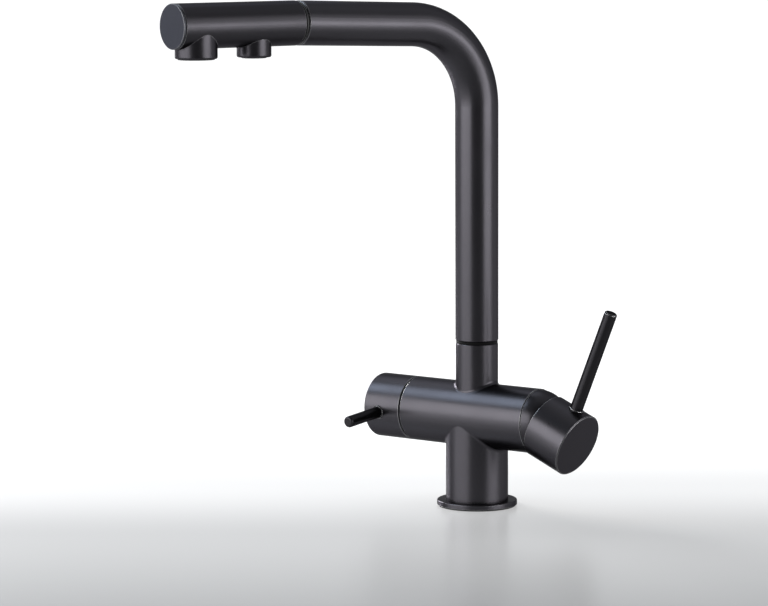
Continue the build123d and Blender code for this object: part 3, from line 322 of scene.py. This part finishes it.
def wear_and_highlight_off_seam(n, link, mask, height):
    """The mask of rubbed edges and painted edge highlight, without those that meet in the seam
    at this height, so the seam stays dark.
    """
    place = n.new("ShaderNodeTexCoord")
    split = n.new("ShaderNodeSeparateXYZ")
    near = add_node(n, "ShaderNodeMath", "COMPARE", {1: height, 2: SEAM_REACH})
    away = add_node(n, "ShaderNodeMath", "SUBTRACT", {0: 1.0})
    kept_wear_and_highlight = add_node(n, "ShaderNodeMath", "MULTIPLY")
    link(place.outputs["Object"], split.inputs["Vector"])
    link(split.outputs["Z"], near.inputs[0])
    link(near.outputs["Value"], away.inputs[1])
    link(mask, kept_wear_and_highlight.inputs[0])
    link(away.outputs["Value"], kept_wear_and_highlight.inputs[1])
    return kept_wear_and_highlight.outputs["Value"]


def coated(
    name, base, wear_and_highlight, gloss, scale=900.0, bump=0.05, ior=1.5, metallic=0.0, graze=1.0, seam=None
):
    """A finish with spray grain, and lighter edges where the coat is rubbed thin and a highlight
    is painted on.
    """
    mat = new_material(name)
    n, link = mat.node_tree.nodes, mat.node_tree.links.new
    shader = n["Principled BSDF"]
    shader.inputs["IOR"].default_value = ior
    shader.inputs["Metallic"].default_value = metallic
    shader.inputs["Specular Tint"].default_value = (graze, graze, graze, 1)
    grain = add_group(
        n, GRAIN, {"Scale": scale, "Gloss Low": gloss[0], "Gloss High": gloss[1]}
    )
    edges = add_group(n, WEAR_AND_HIGHLIGHT)
    tone = add_tone(n, base, wear_and_highlight)
    relief = add_node(
        n, "ShaderNodeBump", values={"Strength": bump, "Distance": COAT_DEPTH}
    )
    mask = edges.outputs["Mask"]
    if seam is not None:
        mask = wear_and_highlight_off_seam(n, link, mask, seam)
    link(mask, tone.inputs["Factor"])
    link(edges.outputs["Round"], relief.inputs["Normal"])
    link(tone.outputs["Result"], shader.inputs["Base Color"])
    link(grain.outputs["Roughness"], shader.inputs["Roughness"])
    link(grain.outputs["Height"], relief.inputs["Height"])
    link(relief.outputs["Normal"], shader.inputs["Normal"])
    return mat


def black_coated(name, base, wear_and_highlight, gloss, graze=0.42, seam=None):
    """A dark coat that shines like metal and stays dark at a grazing angle."""
    return coated(name, base, wear_and_highlight, gloss, metallic=1.0, graze=graze, seam=seam)


def braided(name, shaded_hollow, strand):
    """A hose's braid: painted shade between the strands, and a lighter painted highlight and
    rounded relief along them.
    """
    mat = new_material(name)
    n, link = mat.node_tree.nodes, mat.node_tree.links.new
    shader = n["Principled BSDF"]
    grain = add_group(n, GRAIN, {"Scale": 2500.0, "Gloss Low": 0.42, "Gloss High": 0.6})
    weave = add_group(n, WEAVE)
    crown_shading = add_node(n, "ShaderNodeMapRange", values={"From Min": -0.2})
    tone = add_tone(n, shaded_hollow, strand)
    relief = add_node(
        n, "ShaderNodeBump", values={"Strength": 0.7, "Distance": BRAID_DEPTH}
    )
    link(weave.outputs["Height"], crown_shading.inputs["Value"])
    link(crown_shading.outputs["Result"], tone.inputs["Factor"])
    link(tone.outputs["Result"], shader.inputs["Base Color"])
    link(grain.outputs["Roughness"], shader.inputs["Roughness"])
    link(weave.outputs["Height"], relief.inputs["Height"])
    link(relief.outputs["Normal"], shader.inputs["Normal"])
    return mat


# Each finish's second colour lightens its edges: partly rubbed coat, partly painted highlight
FINISH = {
    "black_coat": black_coated(
        "satin_black", (0.0612, 0.0585, 0.0658), (0.5, 0.5, 0.51), (0.27, 0.36), seam=NECK_SEAM
    ),
    "end_cap_coat": black_coated(
        "satin_slate", (0.051, 0.053, 0.0645), (0.3, 0.3, 0.31), (0.38, 0.5)
    ),
    "brass": coated(
        "turned_brass", (0.62, 0.44, 0.17), (0.8, 0.62, 0.3), (0.2, 0.35),
        scale=400.0, bump=0.04, metallic=1.0,
    ),
    "steel": coated(
        "plain_steel", (0.5, 0.5, 0.52), (0.7, 0.7, 0.72), (0.25, 0.4),
        scale=500.0, bump=0.05, metallic=1.0,
    ),
    "rubber": coated(
        "black_rubber", (0.012, 0.012, 0.012), (0.025, 0.025, 0.025), (0.6, 0.8),
        scale=700.0, bump=0.2,
    ),
    "black_plastic": coated(
        "moulded_black", (0.01, 0.01, 0.011), (0.03, 0.03, 0.03), (0.4, 0.55),
        scale=800.0, bump=0.1,
    ),
    "white_plastic": coated(
        "moulded_white", (0.75, 0.75, 0.72), (0.8, 0.8, 0.78), (0.35, 0.5),
        scale=800.0, bump=0.06,
    ),
    "grey_plastic": coated(
        "moulded_grey", (0.12, 0.125, 0.13), (0.2, 0.2, 0.21), (0.35, 0.5),
        scale=800.0, bump=0.08,
    ),
    "ceramic": coated(
        "lapped_ceramic", (0.8, 0.78, 0.72), (0.85, 0.83, 0.78), (0.15, 0.3),
        scale=600.0, bump=0.02,
    ),
    # Braid: painted shade between the strands, painted highlight on them
    "hose_braid": braided("braided_nylon", (0.012, 0.012, 0.013), (0.075, 0.075, 0.08)),
    "tube_plastic": coated(
        "milky_tube", (0.7, 0.73, 0.76), (0.75, 0.78, 0.8), (0.25, 0.4),
        scale=600.0, bump=0.05,
    ),
}

# Darker copies of the satin black that paint shade on the pieces below; the first one's light
# edges paint glints
SHADED_DEEP_BLACK = black_coated(
    "shaded_black", (0.032, 0.0308, 0.0338), (0.65, 0.65, 0.66), (0.27, 0.36), graze=0.4
)
SHADED_SOFT_BLACK = black_coated(
    "shaded_soft_black", (0.0495, 0.0473, 0.0532), (0.42, 0.42, 0.43), (0.28, 0.37)
)
# A near-black finish that paints shade in the seam at the swivel washer
SEAM_SHADE_BLACK = coated(
    "seam_shade_black", (0.004, 0.004, 0.0042), (0.006, 0.006, 0.0062), (0.6, 0.75),
    scale=800.0, bump=0.1, ior=1.2,
)

# Pieces whose tone is painted darker than their slot's finish, as painted shade
SHADED_FINISH = {
    "lever_rod": SHADED_DEEP_BLACK,
    "filter_pin": SHADED_DEEP_BLACK,
    "head_shell": SHADED_SOFT_BLACK,
    "bonnet_dome": SHADED_SOFT_BLACK,
    "swivel_washer": SEAM_SHADE_BLACK,
}

for entry in frame["record"]["subparts"]:
    node = nodes[entry["node"]]
    node.data.materials.clear()
    node.data.materials.append(
        SHADED_FINISH.get(entry["node"], FINISH[entry["material_slot"]])
    )


# Pull-out hose and the filtered-water tube inside it

def bent_hose(name, finish, radius, wall, foot, tip, sides):
    """One ring drawn up the riser, turned through the bend and drawn out along the arm."""
    deselect_all()
    bpy.ops.mesh.primitive_circle_add(vertices=sides, radius=radius, location=(0, 0, foot))
    hose = bpy.context.object
    hose.name = name
    bpy.ops.object.transform_apply(location=True, rotation=True, scale=True)
    bpy.ops.object.mode_set(mode="EDIT")
    bpy.ops.mesh.select_all(action="SELECT")
    rise = (ARM_Z - HOSE_BEND - foot) / RISER_RINGS
    for ring in range(RISER_RINGS):
        bpy.ops.mesh.extrude_region_move(TRANSFORM_OT_translate={"value": (0, 0, rise)})
    bpy.ops.mesh.spin(
        steps=BEND_RINGS,
        angle=math.pi / 2,
        center=(ARM_OUT[0] * HOSE_BEND, ARM_OUT[1] * HOSE_BEND, ARM_Z - HOSE_BEND),
        axis=(-ARM_SIDE[0], -ARM_SIDE[1], 0),
    )
    reach = (tip - HOSE_BEND) / ARM_RINGS
    for ring in range(ARM_RINGS):
        bpy.ops.mesh.extrude_region_move(
            TRANSFORM_OT_translate={"value": (ARM_OUT[0] * reach, ARM_OUT[1] * reach, 0)}
        )
    bpy.ops.mesh.select_all(action="SELECT")
    bpy.ops.mesh.remove_doubles(threshold=WELD)
    bpy.ops.mesh.normals_make_consistent(inside=False)
    bpy.ops.object.mode_set(mode="OBJECT")
    thick = hose.modifiers.new("wall", "SOLIDIFY")
    thick.thickness = wall
    thick.offset = -1.0
    bpy.ops.object.modifier_apply(modifier=thick.name)
    bpy.ops.object.shade_smooth_by_angle(angle=SMOOTH_ANGLE)
    hose.data.materials.append(FINISH[finish])
    rest = hose.data.attributes.new(REST_PLACE, "FLOAT_VECTOR", "POINT")
    for point, spot in zip(hose.data.vertices, rest.data):
        spot.vector = point.co
    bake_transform(hose)
    return hose


pull_hose = bent_hose(
    "pull_hose", "hose_braid", HOSE_R, HOSE_WALL, HOSE_FOOT, HOSE_TIP, HOSE_SIDES
)
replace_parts(pull_hose, "spray_hose")
inner_tube = bent_hose(
    "inner_tube", "tube_plastic", TUBE_R, TUBE_WALL, TUBE_FOOT, TUBE_TIP, TUBE_SIDES
)
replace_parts(inner_tube, "pure_tube")


# Screw thread of the fixing stud

def threaded_stud():
    """One tooth's outline, drawn from a point and wound up the stud, with both ends closed."""
    deselect_all()
    bpy.ops.mesh.primitive_plane_add(size=STUD_PITCH, location=(0, 0, 0))
    stud = bpy.context.object
    stud.name = "threaded_stud"
    bpy.ops.object.mode_set(mode="EDIT")
    bpy.ops.mesh.select_all(action="SELECT")
    bpy.ops.mesh.merge(type="CENTER")
    bpy.ops.transform.translate(value=(STUD_ROOT, 0, 0))
    tooth = STUD_R - STUD_ROOT
    for out, up in TOOTH_STEPS:
        bpy.ops.mesh.extrude_region_move(
            TRANSFORM_OT_translate={"value": (out * tooth, 0, up * STUD_PITCH)}
        )
    bpy.ops.object.mode_set(mode="OBJECT")
    stud.location = (STUD_X, STUD_Y, STUD_FOOT)
    wind = stud.modifiers.new("wind", "SCREW")
    wind.screw_offset = STUD_PITCH
    wind.iterations = STUD_TURNS
    wind.steps = STUD_STEPS
    wind.render_steps = STUD_STEPS
    wind.use_merge_vertices = True
    wind.merge_threshold = WOUND_WELD
    bpy.ops.object.modifier_apply(modifier=wind.name)
    bpy.ops.object.transform_apply(location=True, rotation=True, scale=True)
    bpy.ops.object.mode_set(mode="EDIT")
    bpy.ops.mesh.select_mode(type="VERT")
    bpy.ops.mesh.select_all(action="SELECT")
    bpy.ops.mesh.remove_doubles(threshold=WELD)
    middle = STUD_FOOT + STUD_PITCH * STUD_TURNS / 2
    for end in (-1, 1):
        bpy.ops.mesh.select_all(action="DESELECT")
        bpy.ops.mesh.select_non_manifold()
        bpy.ops.object.mode_set(mode="OBJECT")
        for point in stud.data.vertices:
            if (point.co.z - middle) * end < 0:
                point.select = False
        bpy.ops.object.mode_set(mode="EDIT")
        bpy.ops.mesh.edge_face_add()
    bpy.ops.mesh.select_all(action="SELECT")
    bpy.ops.mesh.normals_make_consistent(inside=False)
    bpy.ops.object.mode_set(mode="OBJECT")
    bpy.ops.object.shade_smooth_by_angle(angle=SMOOTH_ANGLE)
    stud.data.materials.append(FINISH["steel"])
    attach(stud, "base")
    return stud


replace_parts(threaded_stud(), "fixing_stud")


# Stage: pale floor, white surround and soft boxes

def floor_material():
    """A floor that pales to white behind the faucet, a little dimmer where gloss mirrors it."""
    mat = new_material("pale_floor")
    n, link = mat.node_tree.nodes, mat.node_tree.links.new
    shader = n["Principled BSDF"]
    shader.inputs["Base Color"].default_value = (FLOOR_GREY, FLOOR_GREY, FLOOR_GREY, 1)
    shader.inputs["Roughness"].default_value = FLOOR_ROUGHNESS
    shader.inputs["Emission Color"].default_value = (1, 1, 1, 1)
    path = n.new("ShaderNodeLightPath")
    seen = add_node(n, "ShaderNodeMath", "MAXIMUM")
    mirrored = add_node(n, "ShaderNodeMath", "MAXIMUM")
    dimmed = add_node(n, "ShaderNodeMath", "MULTIPLY", {1: FLOOR_MIRRORED})
    place = n.new("ShaderNodeTexCoord")
    towards = add_node(n, "ShaderNodeVectorMath", "DOT_PRODUCT", {1: FLOOR_FRONT})
    reach = add_node(
        n,
        "ShaderNodeMapRange",
        values={"From Min": FLOOR_REACH[0], "From Max": FLOOR_REACH[1]},
    )
    pale = n.new("ShaderNodeValToRGB")
    pale.color_ramp.interpolation = "EASE"
    stops = pale.color_ramp.elements
    for stop, (at, level) in zip(stops, (FLOOR_LEVELS[0], FLOOR_LEVELS[-1])):
        stop.position, stop.color = at, (level, level, level, 1)
    for at, level in FLOOR_LEVELS[1:-1]:
        stop = stops.new(at)
        stop.color = (level, level, level, 1)
    glow = add_node(n, "ShaderNodeMath", "MULTIPLY")
    link(path.outputs["Is Camera Ray"], seen.inputs[0])
    link(path.outputs["Is Glossy Ray"], dimmed.inputs[0])
    link(dimmed.outputs["Value"], seen.inputs[1])
    link(seen.outputs["Value"], mirrored.inputs[0])
    link(path.outputs["Is Transmission Ray"], mirrored.inputs[1])
    link(place.outputs["Object"], towards.inputs[0])
    link(towards.outputs["Value"], reach.inputs["Value"])
    link(reach.outputs["Result"], pale.inputs["Fac"])
    link(mirrored.outputs["Value"], glow.inputs[0])
    link(pale.outputs["Color"], glow.inputs[1])
    link(glow.outputs["Value"], shader.inputs["Emission Strength"])
    return mat


deselect_all()
bpy.ops.mesh.primitive_plane_add(size=FLOOR_SIZE, location=(0, 0, 0))
floor = bpy.context.object
floor.name = "floor"
floor.data.materials.append(floor_material())


def studio_world():
    """A room that is pale behind and above the faucet and dim on the camera's side."""
    world = bpy.data.worlds.new("studio")
    world.use_nodes = True
    n, link = world.node_tree.nodes, world.node_tree.links.new
    place = n.new("ShaderNodeTexCoord")
    behind = add_node(n, "ShaderNodeVectorMath", "DOT_PRODUCT", {1: ROOM_BEHIND})
    level = add_node(
        n,
        "ShaderNodeMapRange",
        values={
            "From Min": ROOM_REACH[0],
            "From Max": ROOM_REACH[1],
            "To Min": ROOM_LEVELS[0],
            "To Max": ROOM_LEVELS[1],
        },
    )
    level.interpolation_type = "SMOOTHSTEP"
    surround = n["Background"]
    surround.inputs["Color"].default_value = ROOM_COLOUR
    link(place.outputs["Generated"], behind.inputs[0])
    link(behind.outputs["Value"], level.inputs["Value"])
    link(level.outputs["Result"], surround.inputs["Strength"])
    return world


bpy.context.scene.world = studio_world()


def soft_box(name, place, aim, width, height, power, colour):
    """A soft box at its place, turned to face what it aims at."""
    light = bpy.data.lights.new(name, "AREA")
    light.shape = "RECTANGLE"
    light.size = width
    light.size_y = height
    light.energy = power
    light.color = colour
    lamp = bpy.data.objects.new(name, light)
    bpy.context.scene.collection.objects.link(lamp)
    lamp.location = place
    dx, dy, dz = (aim[i] - place[i] for i in range(3))
    lamp.rotation_euler = (
        math.atan2(math.hypot(dx, dy), -dz),
        0,
        math.atan2(dy, dx) - math.pi / 2,
    )


for box in SOFT_BOXES:
    soft_box(*box)


camera = bpy.data.cameras.new("camera")
camera.lens = CAMERA_LENS
camera.sensor_width = CAMERA_SENSOR
camera.clip_end = CAMERA_FAR
eye = bpy.data.objects.new("camera", camera)
bpy.context.scene.collection.objects.link(eye)
eye.location = CAMERA_PLACE
eye.rotation_euler = tuple(math.radians(turn) for turn in CAMERA_TURN)
bpy.context.scene.camera = eye
bpy.context.scene.view_settings.view_transform = "Standard"
